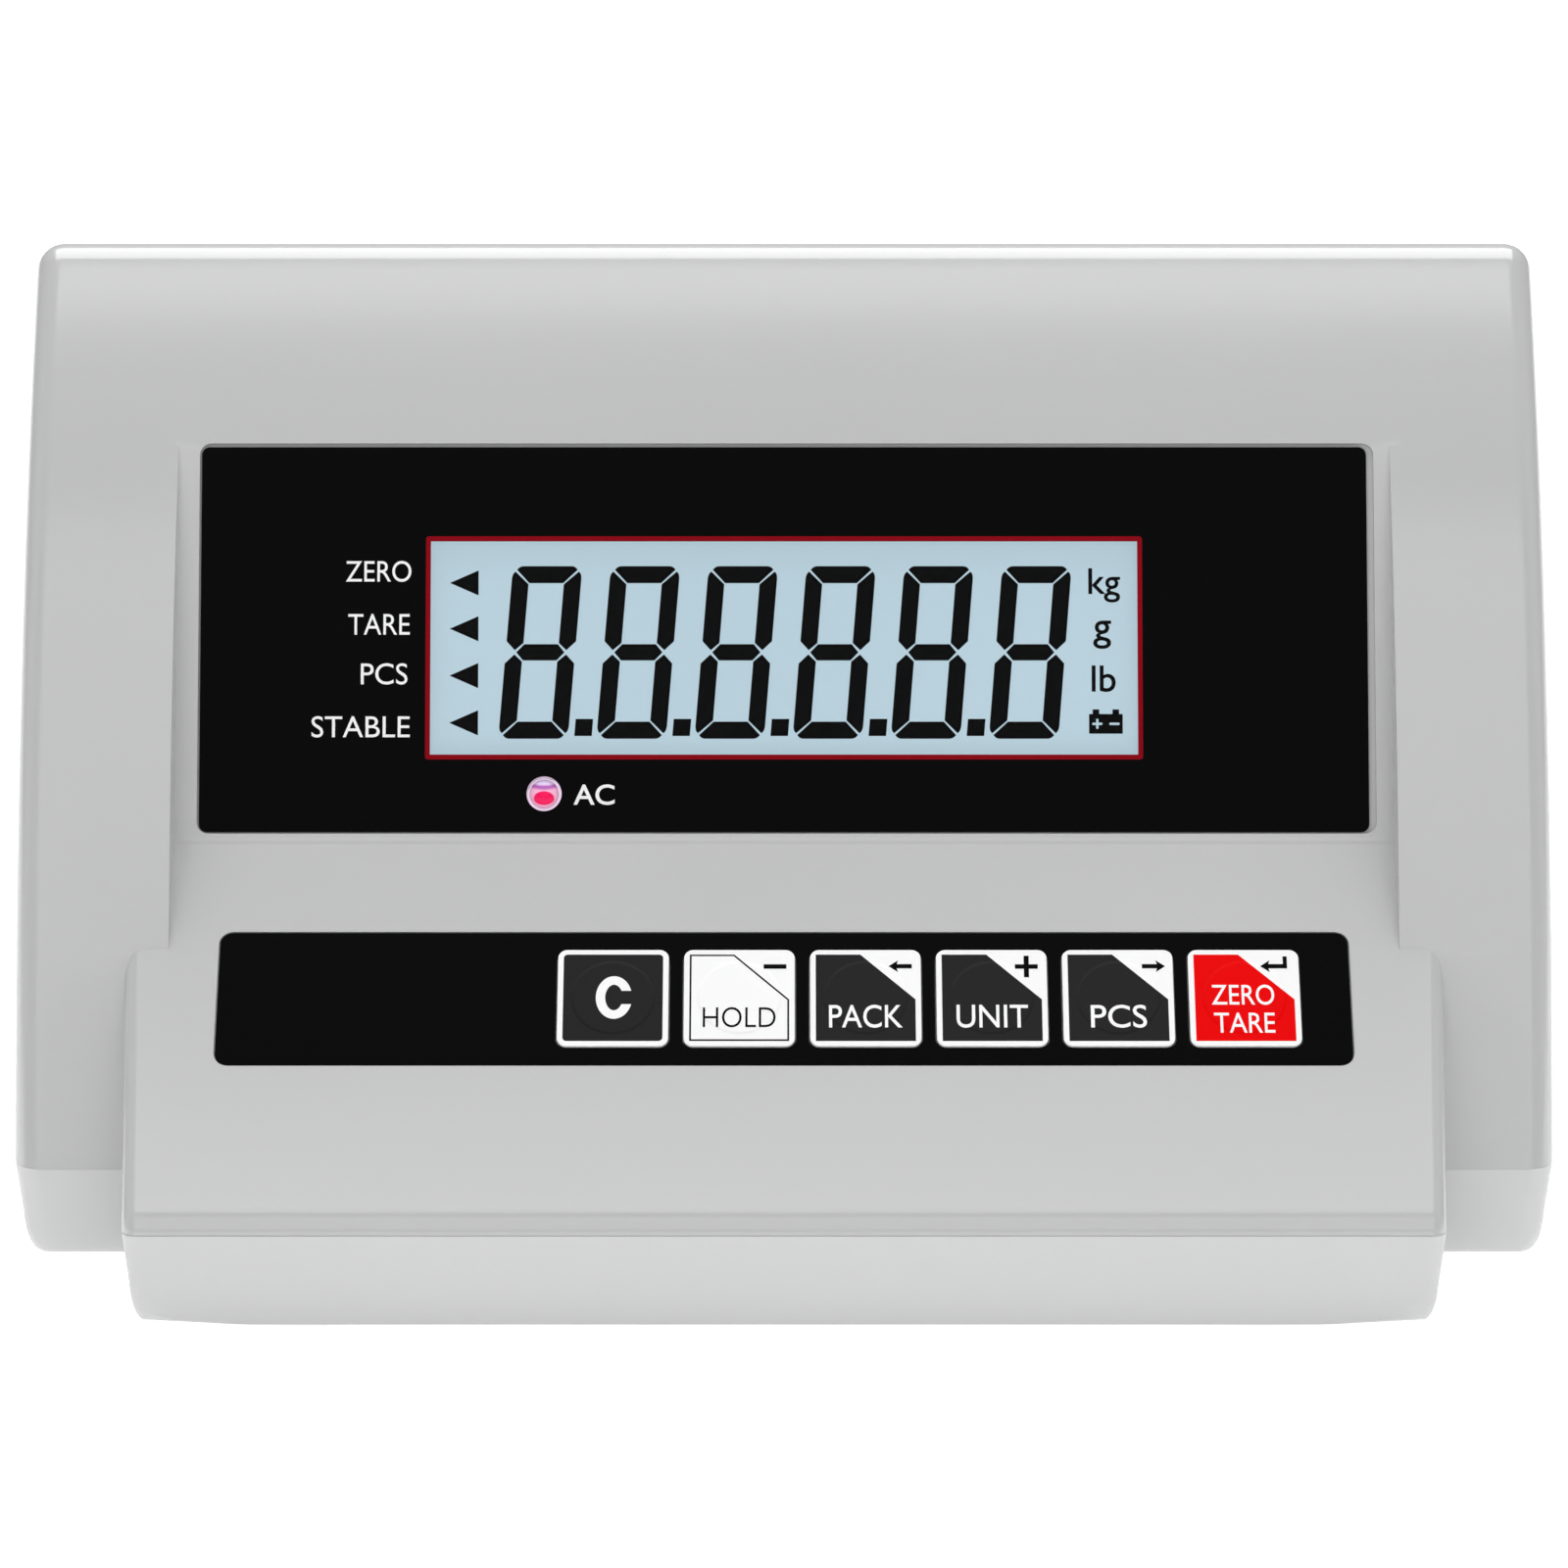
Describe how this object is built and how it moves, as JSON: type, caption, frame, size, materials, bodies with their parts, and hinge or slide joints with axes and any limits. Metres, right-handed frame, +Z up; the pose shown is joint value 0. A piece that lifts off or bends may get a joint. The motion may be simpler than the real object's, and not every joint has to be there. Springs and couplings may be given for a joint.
{
  "type": "weighing scale indicator",
  "caption": "Wedge-shaped bench weighing indicator with piece counting: recessed LCD panel, sloping membrane keypad, battery, and load cell, power and switch fittings at the back.",
  "frame": {"origin": "on the ground under the middle of the whole object's box", "axes": "+X to the right of someone reading the display, +Y towards the back, +Z up"},
  "size_m": [0.23, 0.13, 0.1374],
  "materials": {
    "case_grey": "fine satin moulding",
    "tray_grey": "fine satin moulding",
    "foot_rubber": "matt",
    "zinc_steel": "zinc plated",
    "brass": "turned",
    "panel_black": "satin film",
    "clear_lens": "clear",
    "lcd_face": "lit pale blue",
    "white_plastic": "satin",
    "black_plastic": "satin",
    "tinned_metal": "tinned",
    "board_green": "solder mask",
    "lamp_red": "tinted lens",
    "cream_plastic": "satin",
    "film_black": "matt film",
    "chip_black": "moulded",
    "capacitor_blue": "sleeved",
    "bare_aluminium": "extruded",
    "ribbon_grey": "satin",
    "battery_dark": "satin",
    "lead_red": "satin",
    "lead_black": "satin",
    "socket_chrome": "plated",
    "switch_black": "gloss",
    "rocker_black": "gloss",
    "key_grey": "matt film",
    "key_white": "matt film",
    "key_red": "matt film"
  },
  "bodies": {
    "case": {"upper_housing": "case_grey", "lower_housing": "tray_grey", "rubber_feet": "foot_rubber", "case_screws": "zinc_steel", "bracket_inserts": "brass", "display_overlay": "panel_black", "display_lens": "clear_lens", "lcd_glass": "lcd_face", "lcd_backlight": "white_plastic", "lcd_holder": "black_plastic", "lcd_pins": "tinned_metal", "display_board": "board_green", "display_screws": "zinc_steel", "mains_lamp": "lamp_red", "display_header": "cream_plastic", "keypad_overlay": "film_black", "switch_bodies": "black_plastic", "switch_domes": "tinned_metal", "keypad_board": "board_green", "keypad_screws": "zinc_steel", "keypad_header": "cream_plastic", "main_board": "board_green", "main_screws": "zinc_steel", "processor": "chip_black", "converter_can": "tinned_metal", "capacitors": "capacitor_blue", "regulator": "chip_black", "heat_sink": "bare_aluminium", "buzzer": "black_plastic", "wire_headers": "cream_plastic", "ribbon_headers": "cream_plastic", "display_ribbon": "ribbon_grey", "keypad_ribbon": "ribbon_grey", "battery_pack": "battery_dark", "battery_tabs": "tinned_metal", "battery_strap": "zinc_steel", "strap_screws": "zinc_steel", "battery_leads": "lead_red", "panel_leads": "lead_black", "socket_shell": "socket_chrome", "socket_insert": "black_plastic", "socket_pins": "brass", "socket_nut": "socket_chrome", "power_inlet": "black_plastic", "inlet_nut": "zinc_steel", "rocker_frame": "switch_black"},
    "key_clear": {"key_clear": "key_grey", "stem_clear": "white_plastic"},
    "key_hold": {"key_hold": "key_white", "stem_hold": "white_plastic"},
    "key_pack": {"key_pack": "key_grey", "stem_pack": "white_plastic"},
    "key_unit": {"key_unit": "key_grey", "stem_unit": "white_plastic"},
    "key_count": {"key_count": "key_grey", "stem_count": "white_plastic"},
    "key_zero": {"key_zero": "key_red", "stem_zero": "white_plastic"},
    "rocker": {"rocker": "rocker_black"}
  },
  "joints": [
    {"name": "clear_press", "type": "slide", "parent": "case", "child": "key_clear", "axis": [0, 0.6157, -0.788], "range_m": [0, 0.0005], "stiffness_N_per_m": 3000},
    {"name": "hold_press", "type": "slide", "parent": "case", "child": "key_hold", "axis": [0, 0.6157, -0.788], "range_m": [0, 0.0005], "stiffness_N_per_m": 3000},
    {"name": "pack_press", "type": "slide", "parent": "case", "child": "key_pack", "axis": [0, 0.6157, -0.788], "range_m": [0, 0.0005], "stiffness_N_per_m": 3000},
    {"name": "unit_press", "type": "slide", "parent": "case", "child": "key_unit", "axis": [0, 0.6157, -0.788], "range_m": [0, 0.0005], "stiffness_N_per_m": 3000},
    {"name": "count_press", "type": "slide", "parent": "case", "child": "key_count", "axis": [0, 0.6157, -0.788], "range_m": [0, 0.0005], "stiffness_N_per_m": 3000},
    {"name": "zero_press", "type": "slide", "parent": "case", "child": "key_zero", "axis": [0, 0.6157, -0.788], "range_m": [0, 0.0005], "stiffness_N_per_m": 3000},
    {"name": "power_rock", "type": "hinge", "parent": "case", "child": "rocker", "pos_m": [0.093, 0.055, 0.038], "axis": [1, 0, 0], "range_deg": [0, 18]}
  ]
}
